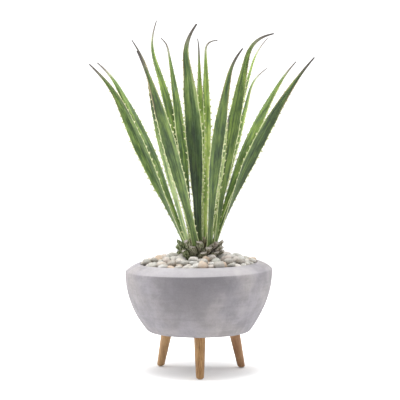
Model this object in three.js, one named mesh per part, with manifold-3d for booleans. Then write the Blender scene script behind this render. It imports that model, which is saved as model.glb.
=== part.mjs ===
// A potted agave: strap leaves on a short cut trunk, in a fibre-cement bowl on three wooden legs.
// Millimetres, +Z up, origin on the floor under the middle of the bowl. Azimuth 0 faces -Y.
import * as THREE from "three";
import { mergeVertices } from "three/addons/utils/BufferGeometryUtils.js";
import Module from "manifold-3d";

const wasm = await Module();
wasm.setup();

// ---- driving dimensions ----
const gap = 0.4; // clearance between pieces that touch
const aroundBowl = 32; // facets around the large turned pieces

const bowl = {
  underside: 134, // height of the flat bottom above the floor
  bottomRadius: 160,
  edgeRadius: 240, // the widest point, at the shoulder's crisp edge
  edgeHeight: 335,
  openingRadius: 191,
  rimHeight: 360,
  floorTop: 158,
  drainRadius: 10,
};
const leg = {
  azimuths: { front: 1.5, rear_right: 113, rear_left: -124 },
  topCircle: 125, // radius of the circle through the leg tops
  footCircle: 155,
  topRadius: 18.8,
  footRadius: 13,
  bottom: 2.6, // the wood ends on the glide
};
const bolt = { radius: 4, length: 54, insertRadius: 8, insertDepth: 16 };
const glide = { radius: 8, thickness: 2.2, nailRadius: 1.6, nailLength: 15 };
const soilTop = 341;
const mulchTop = 370;
const plantShift = 4; // the plant stands a little to the right of the bowl's axis
const stem = { radius: 46, bottom: 301, crownRadius: 43, crown: 429, top: 441 };
const rootBall = { radius: 112, bottom: 176 };

// Rings of leaf bases around the growing point: radius from the stem's axis, height of the base.
const rings = {
  outer: { radius: 52, height: 429 },
  middle: { radius: 31, height: 437 },
  inner: { radius: 11, height: 445 },
};

// One row per leaf. azimuth: where it leaves the stem; turn: how far its face turns on the way up;
// lean, bow, hook: sideways angle at the base, gained to the tip, and gained past hookFrom;
// pitch, droop: angle towards the front at the base and gained to the tip. Degrees and millimetres.
const leaves = [
  { ring: "outer", azimuth: -76, turn: 50, length: 676, width: 44,
    lean: -25, bow: 0, hook: -22, hookFrom: 0.66, pitch: -8, droop: -4 },
  { ring: "outer", azimuth: -113, turn: -35, length: 700, width: 44,
    lean: -20, bow: -14, hook: -16, hookFrom: 0.8, pitch: -16, droop: -3 },
  { ring: "outer", azimuth: -47, turn: -10, length: 680, width: 42,
    lean: -14.5, bow: 6, hook: -25, hookFrom: 0.74, pitch: 5, droop: 3 },
  { ring: "outer", azimuth: -15, turn: -12, length: 662, width: 50,
    lean: -12.5, bow: -8, hook: -7, hookFrom: 0.76, pitch: 14, droop: 4 },
  { ring: "outer", azimuth: -146, turn: -30, length: 776, width: 31,
    lean: -6.8, bow: -17, hook: 40, hookFrom: 0.78, pitch: -13, droop: -4 },
  { ring: "middle", azimuth: -125, turn: -35, length: 708, width: 34,
    lean: -5, bow: -7, hook: -38, hookFrom: 0.92, pitch: -15, droop: -3 },
  { ring: "middle", azimuth: -8, turn: 5, length: 708, width: 54,
    lean: -1.2, bow: -9, hook: 44, hookFrom: 0.8, pitch: 7, droop: 5 },
  { ring: "inner", azimuth: 170, turn: 0, length: 655, width: 29,
    lean: -0.2, bow: -1, hook: -8, hookFrom: 0.93, pitch: -6, droop: -4 },
  { ring: "middle", azimuth: 150, turn: 5, length: 694, width: 36,
    lean: 0.2, bow: 0, hook: 90, hookFrom: 0.9, pitch: -10, droop: -3 },
  { ring: "outer", azimuth: 34, turn: -10, length: 658, width: 46,
    lean: 2, bow: 14, hook: 22, hookFrom: 0.82, pitch: 13, droop: 6 },
  { ring: "outer", azimuth: 63, turn: -40, length: 730, width: 46,
    lean: 7.2, bow: 8, hook: 62, hookFrom: 0.81, pitch: 6, droop: 2 },
  { ring: "middle", azimuth: 100, turn: 0, length: 704, width: 40,
    lean: 11.4, bow: 8, hook: 22, hookFrom: 0.82, pitch: -7, droop: -5 },
  { ring: "outer", azimuth: 144, turn: -30, length: 646, width: 40,
    lean: 14.8, bow: 2, hook: 38, hookFrom: 0.8, pitch: -16, droop: -4 },
  { ring: "outer", azimuth: 118, turn: 22, length: 680, width: 42,
    lean: 16, bow: 22, hook: 6, hookFrom: 0.84, pitch: -12, droop: -4 },
  { ring: "outer", azimuth: 86, turn: -55, length: 684, width: 46,
    lean: 19, bow: 21, hook: 2, hookFrom: 0.8, pitch: 8, droop: 4 },
  { ring: "outer", azimuth: 172, turn: 0, length: 560, width: 40,
    lean: 1.2, bow: 0, hook: 0, hookFrom: 0.8, pitch: -15, droop: -6 },
  { ring: "middle", azimuth: -92, turn: -10, length: 430, width: 34,
    lean: -11, bow: -2, hook: 0, hookFrom: 0.8, pitch: -7, droop: -4 },
  { ring: "middle", azimuth: 42, turn: -4, length: 420, width: 28,
    lean: 10, bow: 0, hook: 0, hookFrom: 0.8, pitch: 15, droop: -4 },
];
// Along a leaf, as fractions of its length: share of its full width, thickness, depth of the channel.
const leafSteps = [0, 0.08, 0.2, 0.32, 0.44, 0.54, 0.66, 0.78, 0.88, 0.94, 1];
const leafWidths = [0.47, 0.45, 0.58, 0.82, 0.98, 1, 0.84, 0.52, 0.22, 0.1, 0.04];
const leafThickness = [9, 8, 7, 6.5, 6, 5.5, 5, 4, 3, 2.2, 1.4];
const leafChannel = 0.3;

const stubs = {
  tiers: [377, 394, 411], // height where each tier of cut leaf bases starts
  perTier: 8,
  startRadius: 52,
  length: 30,
  flare: 50, // degrees outward from upright
  width: 26,
  thickness: 9,
};

// ---- materials ----
const paint = (color, roughness, metalness = 0) =>
  new THREE.MeshStandardMaterial({ color, roughness, metalness });
const cement = paint(0xaaa6a8, 0.9);
const wood = paint(0x7d5236, 0.6);
const steel = paint(0x9a9a9a, 0.4, 0.9);
const zincAlloy = paint(0xb0a890, 0.45, 0.8);
const glidePlastic = paint(0xd8d4cc, 0.5);
const rubber = paint(0x2c2c2c, 0.8);
const soil = paint(0x3b2a20, 1);
const roots = paint(0x6a5136, 1);
const pebble = paint(0xd5cabd, 0.7);
const bark = paint(0x6f6a4c, 0.9);
const cutBase = paint(0x9a9682, 0.9);
const leafGreen = paint(0x5f7d4a, 0.5);

const group = new THREE.Group();

// ---- helpers ----
const radians = THREE.MathUtils.degToRad;
const smooth = (from, t) => THREE.MathUtils.smoothstep(t, from, 1);

// The value at t of a table given at leafSteps.
function along(table, t) {
  const next = Math.max(1, leafSteps.findIndex((step) => step >= t - 1e-9));
  const share = (t - leafSteps[next - 1]) / (leafSteps[next] - leafSteps[next - 1]);
  return THREE.MathUtils.lerp(table[next - 1], table[next], share);
}

// Turns a closed path of (radius, height) points about the vertical axis.
function turned(path, facets = aroundBowl, divisions = 5) {
  const geometry = new THREE.LatheGeometry(path.getPoints(divisions), facets);
  return geometry.rotateX(Math.PI / 2);
}

function add(name, geometry, material, parent = group) {
  const mesh = new THREE.Mesh(geometry, material);
  mesh.name = name;
  parent.add(mesh);
  return mesh;
}

function solidOf(geometry) {
  const bare = geometry.clone();
  bare.deleteAttribute("normal");
  bare.deleteAttribute("uv");
  const merged = mergeVertices(bare, 1e-3);
  const mesh = new wasm.Mesh({
    numProp: 3,
    vertProperties: merged.attributes.position.array,
    triVerts: new Uint32Array(merged.index.array),
  });
  return new wasm.Manifold(mesh);
}

// The body geometry with each of the tool geometries cut out of it.
function cut(body, tools) {
  let solid = solidOf(body);
  for (const tool of tools) solid = solid.subtract(solidOf(tool));
  const mesh = solid.getMesh();
  const geometry = new THREE.BufferGeometry();
  geometry.setAttribute("position", new THREE.BufferAttribute(mesh.vertProperties, 3));
  geometry.setIndex(new THREE.BufferAttribute(mesh.triVerts, 1));
  return geometry;
}

// ---- the bowl ----
// Points of the inner wall as radius and height; the soil is the same shape, a little smaller.
const inside = {
  floor: [142, bowl.floorTop],
  foot: [154, 162],
  belly: [218, 240],
  shoulder: [215, 330],
  neck: [bowl.openingRadius, 347],
};

// Wall curves up to the edge, then a rounded shoulder runs in to the opening.
function bowlGeometry() {
  const path = new THREE.Path();
  const base = bowl.underside;
  path.moveTo(bowl.drainRadius, base);
  path.lineTo(bowl.bottomRadius, base);
  path.quadraticCurveTo(167.5, base, 172, base + 6);
  path.quadraticCurveTo(bowl.edgeRadius, 232, bowl.edgeRadius, bowl.edgeHeight - 5);
  path.quadraticCurveTo(bowl.edgeRadius, bowl.edgeHeight, bowl.edgeRadius - 1.5, bowl.edgeHeight + 1);
  path.quadraticCurveTo(226, bowl.edgeHeight + 15, bowl.openingRadius + 4, bowl.rimHeight - 1);
  path.lineTo(bowl.openingRadius, bowl.rimHeight - 2);
  path.lineTo(...inside.neck);
  path.lineTo(...inside.shoulder);
  path.quadraticCurveTo(...inside.belly, ...inside.foot);
  path.lineTo(...inside.floor);
  path.lineTo(bowl.drainRadius, bowl.floorTop);
  path.closePath();
  return turned(path);
}

// ---- legs: turned pieces sheared along one slant, so their ends stay level ----
const splay = (leg.footCircle - leg.topCircle) / bowl.underside;

function slanted(geometry) {
  const shift = leg.topCircle + bowl.underside * splay;
  return geometry.applyMatrix4(
    new THREE.Matrix4().set(1, 0, -splay, shift, 0, 1, 0, 0, 0, 0, 1, 0, 0, 0, 0, 1),
  );
}

function legGeometry() {
  const top = bowl.underside - gap;
  const boltHole = bolt.radius + gap;
  const holeBottom = top - bolt.length + bolt.insertDepth - 5;
  const nailHole = glide.nailRadius + gap;
  const path = new THREE.Path();
  path.moveTo(0, glide.nailLength + 2);
  path.lineTo(nailHole, glide.nailLength + 2);
  path.lineTo(nailHole, leg.bottom);
  path.lineTo(leg.footRadius - 5, leg.bottom);
  path.quadraticCurveTo(leg.footRadius, leg.bottom, leg.footRadius, leg.bottom + 10);
  path.lineTo(leg.topRadius, top);
  path.lineTo(boltHole, top);
  path.lineTo(boltHole, holeBottom);
  path.lineTo(0, holeBottom);
  return slanted(turned(path, 16, 3));
}

function boltGeometry() {
  const top = bowl.underside + bolt.insertDepth - 2;
  const path = new THREE.Path();
  path.moveTo(0, top - bolt.length);
  path.lineTo(bolt.radius - 1.5, top - bolt.length);
  path.lineTo(bolt.radius, top - bolt.length + 4);
  path.lineTo(bolt.radius, top - 1);
  path.lineTo(bolt.radius - 1, top);
  path.lineTo(0, top);
  return slanted(turned(path, 12, 1));
}

function insertGeometry() {
  const path = new THREE.Path();
  path.moveTo(bolt.radius + gap, bowl.underside + gap);
  path.lineTo(bolt.insertRadius, bowl.underside + gap);
  path.lineTo(bolt.insertRadius, bowl.underside + bolt.insertDepth);
  path.lineTo(bolt.radius + gap, bowl.underside + bolt.insertDepth);
  path.closePath();
  return slanted(turned(path, 12, 1));
}

// The pocket in the bowl's underside that an insert is cast into.
function pocketGeometry(azimuth) {
  const depth = bolt.insertDepth + gap;
  const radius = bolt.insertRadius + gap;
  const pocket = new THREE.CylinderGeometry(radius, radius, depth + 5, 12);
  pocket.rotateX(Math.PI / 2);
  pocket.translate(0, 0, bowl.underside + (depth - 5) / 2);
  return slanted(pocket).rotateZ(radians(azimuth - 90));
}

function glideGeometry() {
  const path = new THREE.Path();
  path.moveTo(0, 0);
  path.lineTo(glide.radius - 0.8, 0);
  path.lineTo(glide.radius, 0.8);
  path.lineTo(glide.radius, glide.thickness);
  path.lineTo(glide.nailRadius, glide.thickness);
  path.lineTo(glide.nailRadius, glide.nailLength - 3);
  path.lineTo(0, glide.nailLength);
  return slanted(turned(path, 12, 1));
}

// ---- what fills the bowl ----
function plugGeometry() {
  const path = new THREE.Path();
  const seat = bowl.floorTop + gap;
  path.moveTo(0, bowl.underside + 2);
  path.lineTo(bowl.drainRadius - 1.2, bowl.underside + 2);
  path.lineTo(bowl.drainRadius - gap, seat);
  path.lineTo(bowl.drainRadius + 6, seat);
  path.lineTo(bowl.drainRadius + 6, seat + 3);
  path.lineTo(0, seat + 4);
  return turned(path, 16, 1);
}

function soilGeometry() {
  const fitted = ([radius, height]) => [radius - 1.5, height + 0.6];
  const overPlug = bowl.floorTop + 5;
  const besidePlug = bowl.drainRadius + 8;
  const path = new THREE.Path();
  path.moveTo(0, overPlug);
  path.lineTo(besidePlug, overPlug);
  path.lineTo(besidePlug, bowl.floorTop + 0.6);
  path.lineTo(...fitted(inside.floor));
  path.lineTo(...fitted(inside.foot));
  path.quadraticCurveTo(...fitted(inside.belly), ...fitted(inside.shoulder));
  path.lineTo(197.8, soilTop);
  path.lineTo(0, soilTop);
  const cavity = rootBallOutline(gap, soilTop + 20).translate(plantShift, 0, 0);
  return cut(turned(path), [cavity]);
}

function rootBallOutline(grow, top) {
  const radius = rootBall.radius + grow;
  const bottom = rootBall.bottom - grow;
  const path = new THREE.Path();
  path.moveTo(0, bottom);
  path.lineTo(30, bottom);
  path.quadraticCurveTo(radius, bottom, radius, 254);
  path.lineTo(radius, top);
  path.lineTo(0, top);
  return turned(path, 24, 3);
}

function rootBallGeometry() {
  const hole = new THREE.CylinderGeometry(stem.radius + gap, stem.radius + gap, 60, 28);
  hole.rotateX(Math.PI / 2);
  hole.translate(0, 0, stem.bottom - gap + 30);
  return cut(rootBallOutline(0, soilTop), [hole]);
}

// A ring of small stones as one heaped layer; its top rises and falls with the stones.
function mulchGeometry() {
  const hole = stem.radius + plantShift + gap;
  const wall = bowl.openingRadius - 0.8;
  const bottom = soilTop + gap;
  const path = new THREE.Path();
  path.moveTo(hole, bottom);
  path.lineTo(197.5, bottom);
  path.lineTo(wall, 346.5);
  path.lineTo(wall, bowl.rimHeight - 6);
  for (const share of [0.05, 0.2, 0.35, 0.5, 0.65, 0.8, 0.95]) {
    const rise = Math.sin(Math.PI * Math.min(1, share * 2.2) / 2);
    const height = THREE.MathUtils.lerp(bowl.rimHeight - 2, mulchTop, rise);
    path.lineTo(THREE.MathUtils.lerp(wall, hole, share), height);
  }
  path.lineTo(hole, mulchTop - 8);
  path.closePath();
  const geometry = turned(path, aroundBowl, 1);
  const place = geometry.attributes.position;
  for (let i = 0; i < place.count; i++) {
    const radius = Math.hypot(place.getX(i), place.getY(i));
    if (place.getZ(i) < bowl.rimHeight - 5 || radius > wall - 4) continue;
    const azimuth = Math.atan2(place.getY(i), place.getX(i));
    const bump = Math.sin(azimuth * 12 + radius * 0.35) * Math.cos(azimuth * 5 - radius * 0.2);
    place.setZ(i, place.getZ(i) + bump * 2.5);
  }
  return geometry;
}

// ---- the plant ----
function stemGeometry() {
  const path = new THREE.Path();
  path.moveTo(0, stem.bottom);
  path.lineTo(stem.radius, stem.bottom);
  path.lineTo(stem.radius, 415);
  path.lineTo(stem.crownRadius, 419);
  path.lineTo(stem.crownRadius - 2, stem.crown - 1);
  path.lineTo(38, 433);
  path.lineTo(21, 433.5);
  path.lineTo(19, stem.top);
  path.lineTo(0, stem.top);
  return turned(path, 28, 1);
}

// A blade: a closed tube bent along a centre line, wide and flat, with a channel down its inner face.
// at(t) gives its centre, the direction it grows in, the way it faces out, and its section.
function bladeGeometry(at, sides, stations) {
  const geometry = new THREE.CylinderGeometry(1, 1, 1, sides, stations);
  const place = geometry.attributes.position;
  const across = new THREE.Vector3();
  const inward = new THREE.Vector3();
  const point = new THREE.Vector3();
  for (let i = 0; i < place.count; i++) {
    const share = place.getX(i);
    const side = place.getZ(i);
    const { centre, growth, out, halfWidth, halfThickness, channel } = at(place.getY(i) + 0.5);
    across.crossVectors(growth, out).normalize();
    inward.crossVectors(across, growth).normalize();
    const depth = side * halfThickness + channel * halfWidth * share * share;
    point.copy(centre).addScaledVector(across, share * halfWidth).addScaledVector(inward, depth);
    place.setXYZ(i, point.x, point.y, point.z);
  }
  return geometry;
}

const facing = (azimuth) =>
  new THREE.Vector3(Math.sin(radians(azimuth)), -Math.cos(radians(azimuth)), 0);

function leafDirection(leaf, t) {
  const sideways = leaf.lean + leaf.bow * t ** 1.5 + leaf.hook * smooth(leaf.hookFrom, t);
  const forward = leaf.pitch + leaf.droop * t;
  const level = Math.cos(radians(forward));
  return new THREE.Vector3(
    Math.sin(radians(sideways)) * level,
    -Math.sin(radians(forward)),
    Math.cos(radians(sideways)) * level,
  );
}

// The centre line grows from its ring in short straight steps.
function leafGeometry(leaf) {
  const steps = 48;
  const { radius, height } = rings[leaf.ring];
  const centres = [facing(leaf.azimuth).multiplyScalar(radius).setZ(height)];
  for (let i = 0; i < steps; i++) {
    const heading = leafDirection(leaf, (i + 0.5) / steps);
    centres.push(centres[i].clone().addScaledVector(heading, leaf.length / steps));
  }
  const line = (t) => {
    const whole = Math.min(steps - 1, Math.floor(t * steps));
    return centres[whole].clone().lerp(centres[whole + 1], t * steps - whole);
  };
  const at = (t) => ({
    centre: line(t),
    growth: leafDirection(leaf, t),
    out: facing(leaf.azimuth + leaf.turn * smooth(0, Math.min(1, t / 0.45))),
    halfWidth: (leaf.width / 2) * along(leafWidths, t),
    halfThickness: along(leafThickness, t) / 2,
    channel: leafChannel,
  });
  return bladeGeometry(at, 8, 12);
}

// The woody foot of a leaf that was cut away: short, flared outward, flat on top.
function stubGeometry(azimuth, height) {
  const out = facing(azimuth);
  const growth = out.clone().multiplyScalar(Math.sin(radians(stubs.flare)));
  growth.z = Math.cos(radians(stubs.flare));
  const start = out.clone().multiplyScalar(stubs.startRadius).setZ(height);
  const at = (t) => ({
    centre: start.clone().addScaledVector(growth, stubs.length * t),
    growth,
    out,
    halfWidth: (stubs.width / 2) * (0.85 + 0.15 * t),
    halfThickness: stubs.thickness / 2,
    channel: 0.25,
  });
  return bladeGeometry(at, 6, 1);
}

// ---- assembly ----
const legAzimuths = Object.values(leg.azimuths);
add("planter_bowl", cut(bowlGeometry(), legAzimuths.map(pocketGeometry)), cement);
add("drain_plug", plugGeometry(), rubber);
for (const [place, azimuth] of Object.entries(leg.azimuths)) {
  const corner = new THREE.Group();
  corner.rotation.z = radians(azimuth - 90);
  group.add(corner);
  add(`leg_${place}`, legGeometry(), wood, corner);
  add(`hanger_bolt_${place}`, boltGeometry(), steel, corner);
  add(`threaded_insert_${place}`, insertGeometry(), zincAlloy, corner);
  add(`foot_glide_${place}`, glideGeometry(), glidePlastic, corner);
}
add("potting_soil", soilGeometry(), soil);
add("pebble_mulch", mulchGeometry(), pebble);

const plant = new THREE.Group();
plant.position.x = plantShift;
group.add(plant);
add("root_ball", rootBallGeometry(), roots, plant);
add("stem", stemGeometry(), bark, plant);
leaves.forEach((leaf, index) => {
  add(`leaf_${String(index + 1).padStart(2, "0")}`, leafGeometry(leaf), leafGreen, plant);
});
stubs.tiers.forEach((height, tier) => {
  for (let i = 0; i < stubs.perTier; i++) {
    const azimuth = ((i + tier / 2) * 360) / stubs.perTier;
    const name = `leaf_stub_${String(tier * stubs.perTier + i + 1).padStart(2, "0")}`;
    add(name, stubGeometry(azimuth, height), cutBase, plant);
  }
});

export default group;
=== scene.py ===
import math

import bmesh
import bpy
import numpy as np
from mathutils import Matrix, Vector


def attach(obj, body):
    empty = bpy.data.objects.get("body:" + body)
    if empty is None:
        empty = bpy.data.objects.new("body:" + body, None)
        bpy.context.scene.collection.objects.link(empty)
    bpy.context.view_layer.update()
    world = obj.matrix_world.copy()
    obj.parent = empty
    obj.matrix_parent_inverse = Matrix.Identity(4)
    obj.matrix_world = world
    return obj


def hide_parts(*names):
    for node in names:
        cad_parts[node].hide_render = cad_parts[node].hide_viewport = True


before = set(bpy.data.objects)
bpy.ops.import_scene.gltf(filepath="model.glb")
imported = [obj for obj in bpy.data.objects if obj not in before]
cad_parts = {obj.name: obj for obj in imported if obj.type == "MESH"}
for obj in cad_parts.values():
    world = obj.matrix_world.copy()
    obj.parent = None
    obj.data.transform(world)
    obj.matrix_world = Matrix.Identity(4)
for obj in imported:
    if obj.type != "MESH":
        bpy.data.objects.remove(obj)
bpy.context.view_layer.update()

root = "root"
mm = 0.001
skinSockets = {"colour": "Base Color", "rough": "Roughness", "gloss": "Specular IOR Level",
               "metal": "Metallic"}
print("frame loaded,", len(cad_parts), "nodes")


def put(tree, kind, inputs=None, **settings):
    made = tree.nodes.new(kind)
    for name, value in settings.items():
        setattr(made, name, value)
    for key, value in (inputs or {}).items():
        if isinstance(value, bpy.types.NodeSocket):
            tree.links.new(value, made.inputs[key])
        else:
            made.inputs[key].default_value = value
    return made


def first(tree, kind, inputs=None, **settings):
    return put(tree, kind, inputs, **settings).outputs[0]


def calc(tree, operation, a, b=0.0, clamp=False):
    return first(tree, "ShaderNodeMath", {0: a, 1: b}, operation=operation, use_clamp=clamp)


def vectorMath(tree, operation, inputs):
    return first(tree, "ShaderNodeVectorMath", inputs, operation=operation)


def mixed(tree, factor, a, b):
    return first(tree, "ShaderNodeMix", {0: factor, 2: a, 3: b}, data_type="FLOAT")


def times(tree, a, b):
    return calc(tree, "MULTIPLY", a, b)


def plus(tree, a, b):
    return calc(tree, "ADD", a, b)


def between(tree, value, low, high, start=0.0, end=1.0):
    return first(tree, "ShaderNodeMapRange", {0: value, 1: low, 2: high, 3: start, 4: end},
                 interpolation_type="SMOOTHSTEP")


def spread(tree, value, start=0.0, end=1.0):
    # most of a noise lies between 0.3 and 0.7
    return between(tree, value, 0.3, 0.7, start, end)


def blend(tree, factor, a, b, how="MIX"):
    return put(tree, "ShaderNodeMix", {0: factor, 6: a, 7: b}, data_type="RGBA", blend_type=how).outputs[2]


def noise(tree, place, scale, detail=4.0, roughness=0.55):
    return first(tree, "ShaderNodeTexNoise", {"Vector": place, "Scale": scale, "Detail": detail,
                                              "Roughness": roughness})


def stretched(tree, place, scale):
    return first(tree, "ShaderNodeMapping", {"Vector": place, "Scale": scale})


def streaky(tree, place, scale, detail, roughness=0.55):
    return noise(tree, stretched(tree, place, scale), 1.0, detail, roughness)


def attribute(tree, name, output="Fac"):
    return put(tree, "ShaderNodeAttribute", attribute_name=name).outputs[output]


def weighted(tree, *parts):
    total = None
    for value, share in parts:
        part = times(tree, value, share)
        total = part if total is None else plus(tree, total, part)
    return total


def stops(tree, factor, colours):
    made = put(tree, "ShaderNodeValToRGB", {0: factor})
    ramp = made.color_ramp
    while len(ramp.elements) < len(colours):
        ramp.elements.new(0.5)
    for element, (position, colour) in zip(ramp.elements, colours):
        element.position = position
        element.color = (*colour, 1)
    return made.outputs[0]


def newFinish(name):
    material = bpy.data.materials.new(name)
    material.use_nodes = True
    tree = material.node_tree
    skin = tree.nodes["Principled BSDF"]
    place = put(tree, "ShaderNodeTexCoord").outputs["Object"]
    return material, tree, skin, place


def paint(tree, skin, **finish):
    # a socket is linked; a plain number is set on the shader itself
    for label, value in finish.items():
        socket = skin.inputs[skinSockets[label]]
        if isinstance(value, bpy.types.NodeSocket):
            tree.links.new(value, socket)
        else:
            socket.default_value = value


def relief(tree, skin, height, strength, distance):
    bump = put(tree, "ShaderNodeBump", {"Height": height, "Strength": strength, "Distance": distance})
    tree.links.new(bump.outputs[0], skin.inputs["Normal"])


def placed(name, data):
    made = bpy.data.objects.new(name, data)
    bpy.context.scene.collection.objects.link(made)
    return made


def meshPiece(name, points, faces, material):
    data = bpy.data.meshes.new(name)
    data.from_pydata([tuple(p) for p in points], [], faces)
    data.materials.append(material)
    data.polygons.foreach_set("use_smooth", [True] * len(data.polygons))
    data.update()
    return placed(name, data)


def faceOutward(piece):
    shell = bmesh.new()
    shell.from_mesh(piece.data)
    bmesh.ops.recalc_face_normals(shell, faces=shell.faces)
    shell.to_mesh(piece.data)
    shell.free()


def setAttribute(data, name, values, kind="FLOAT"):
    layer = data.attributes.new(name, kind, "POINT")
    layer.data.foreach_set("value" if kind == "FLOAT" else "vector", np.asarray(values, np.float32).ravel())


def refinish(node, material):
    # only the slots of a CAD node change
    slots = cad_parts[node].data.materials
    slots.clear()
    slots.append(material)


def finished(piece, slot, *nodes):
    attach(piece, root)
    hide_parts(*nodes)
    return piece


def arc(start, control, end, steps):
    t = np.linspace(0, 1, steps + 1)[1:, None]
    start, control, end = (np.array(p, float) for p in (start, control, end))
    return [tuple(p) for p in (1 - t) ** 2 * start + 2 * t * (1 - t) * control + t ** 2 * end]


def line(start, end, steps):
    return [(start[0] + (end[0] - start[0]) * i / steps, start[1] + (end[1] - start[1]) * i / steps)
            for i in range(1, steps + 1)]


def turnedPoints(profile, around):
    # radius, height pairs in millimetres, closed on itself or on the axis; outside first, going up
    points, rows = [], []
    for radius, height in profile:
        if radius < 1e-6:
            rows.append([len(points)] * around)
            points.append((0, 0, height * mm))
            continue
        rows.append(list(range(len(points), len(points) + around)))
        for k in range(around):
            turn = 2 * math.pi * k / around
            points.append((radius * mm * math.cos(turn), radius * mm * math.sin(turn), height * mm))
    faces = []
    loop = profile[0][0] > 1e-6
    for i in range(len(rows) - (0 if loop else 1)):
        low, high = rows[i], rows[(i + 1) % len(rows)]
        for k in range(around):
            n = (k + 1) % around
            corners = [low[k], low[n], high[n], high[k]]
            faces.append(tuple(dict.fromkeys(corners)))
    return np.array(points), faces


def cappedTube(rows, around):
    # joins rings of points in order; the last two points close its ends
    faces = []
    for low in range(0, (rows - 1) * around, around):
        high = low + around
        for k in range(around):
            n = (k + 1) % around
            faces.append((low + k, low + n, high + n, high + k))
    first, last, top = rows * around, rows * around + 1, (rows - 1) * around
    for k in range(around):
        n = (k + 1) % around
        faces += [(first, n, k), (last, top + k, top + n)]
    return faces


def smoothstep(low, high, value):
    t = np.clip((value - low) / (high - low), 0, 1)
    return t * t * (3 - 2 * t)


def facing(azimuth):
    turn = math.radians(azimuth)
    return np.array([math.sin(turn), -math.cos(turn), 0.0])


studio = {
    "axisX": 4 * mm, "distance": 4.64, "height": 0.841, "pitch": 3.43, "lens": 128.0, "sensor": 36,
    "frontGlow": 0.01, "sideGlow": 0.74, "topGlow": 1.85, "backGlow": 1.35, "skylineGlow": 1.0,
    "floorRadius": 30, "floorSides": 64,
}
softboxes = {
    "overheadBox": dict(place=(-0.1, -0.15, 3.0), target=(0, 0, 0.4), size=(1.8, 1.8), power=96),
    "leftBox": dict(place=(-2.5, 0.55, 1.2), target=(0, 0, 0.5), size=(1.0, 2.0), power=28),
    "rightBox": dict(place=(2.5, 0.35, 1.3), target=(0, 0, 0.5), size=(1.0, 2.0), power=14),
}


def makeFloor():
    material, tree, skin, place = newFinish("paleFloor")
    colour = blend(tree, noise(tree, place, 3.0), (0.95, 0.95, 0.95, 1), (0.98, 0.98, 0.98, 1))
    paint(tree, skin, colour=colour, rough=0.9, gloss=0.1)
    sides, radius = studio["floorSides"], studio["floorRadius"]
    turns = np.linspace(0, 2 * math.pi, sides + 1)[:-1]
    ring = [(radius * math.cos(turn), radius * math.sin(turn), 0) for turn in turns]
    meshPiece("studioFloor", ring, [tuple(range(sides))], material)


def makeSurround():
    world = bpy.data.worlds.new("studioSurround")
    bpy.context.scene.world = world
    world.use_nodes = True
    tree = world.node_tree
    direction = put(tree, "ShaderNodeTexCoord").outputs["Generated"]
    _, depth, rise = put(tree, "ShaderNodeSeparateXYZ", {0: direction}).outputs
    glow = between(tree, depth, -0.35, 0.65, studio["frontGlow"], studio["sideGlow"])
    glow = mixed(tree, between(tree, rise, 0.38, 0.88), glow, studio["topGlow"])
    skyline = between(tree, calc(tree, "ABSOLUTE", rise), 0.09, 0.05)
    glow = mixed(tree, skyline, glow, studio["skylineGlow"])
    glow = mixed(tree, between(tree, depth, 0.88, 0.97), glow, studio["backGlow"])
    ground = tree.nodes["Background"]
    tree.links.new(glow, ground.inputs["Strength"])
    ground.inputs["Color"].default_value = (1, 1, 1, 1)


def makeSoftbox(name, place, target, size, power):
    light = bpy.data.lights.new(name, "AREA")
    light.shape = "RECTANGLE"
    light.size, light.size_y = size
    light.energy = power
    lamp = placed(name, light)
    lamp.location = place
    lamp.rotation_euler = (Vector(target) - Vector(place)).to_track_quat("-Z", "Y").to_euler()


def makeCamera():
    lens = bpy.data.cameras.new("frontView")
    lens.lens = studio["lens"]
    lens.sensor_width = studio["sensor"]
    lens.clip_end = 100
    camera = placed("frontView", lens)
    camera.location = (studio["axisX"], -studio["distance"], studio["height"])
    camera.rotation_euler = (math.radians(90 - studio["pitch"]), 0, 0)
    bpy.context.scene.camera = camera


makeFloor()
makeSurround()
for name, settings in softboxes.items():
    makeSoftbox(name, **settings)
makeCamera()
bpy.context.scene.view_settings.view_transform = "Standard"
print("stage and camera ready")


# radii and heights in millimetres; a pair is a radius and a height
bowl = {
    "around": 192, "underside": 134, "bottom": 160, "footPull": 167.5, "foot": 172, "footRise": 6,
    "bellyHeight": 232, "edge": 240, "edgeHeight": 335, "shoulderPull": 226, "shoulderRise": 15,
    "rim": 360, "opening": 191, "neckHeight": 347, "insideTop": (215, 330), "insideBelly": (218, 240),
    "insideFoot": (154, 162), "floor": 158, "floorEdge": 142, "drain": 10, "lean": 0.018,
}
# two of these colours are painted light: a pale one for a painted highlight on the front of the shoulder, and
# a dark one for painted shade on the wall below the edge in front
cement = {
    "cool": (0.238, 0.225, 0.246, 1), "warm": (0.29, 0.27, 0.272, 1), "damp": (0.11, 0.102, 0.114, 1),
    "shoulderHighlight": (0.44, 0.425, 0.44, 1), "pits": (0.27, 0.26, 0.265, 1), "lime": (0.72, 0.71, 0.71, 1),
    "underEdgeShadeStrength": 0.8, "underEdgeShadeFrom": 0.07, "underEdgeShadeShift": 0.028, "shoulderHighlightStrength": 0.36,
    "darkest": 0.8, "lightest": 1.14,
}


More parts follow.
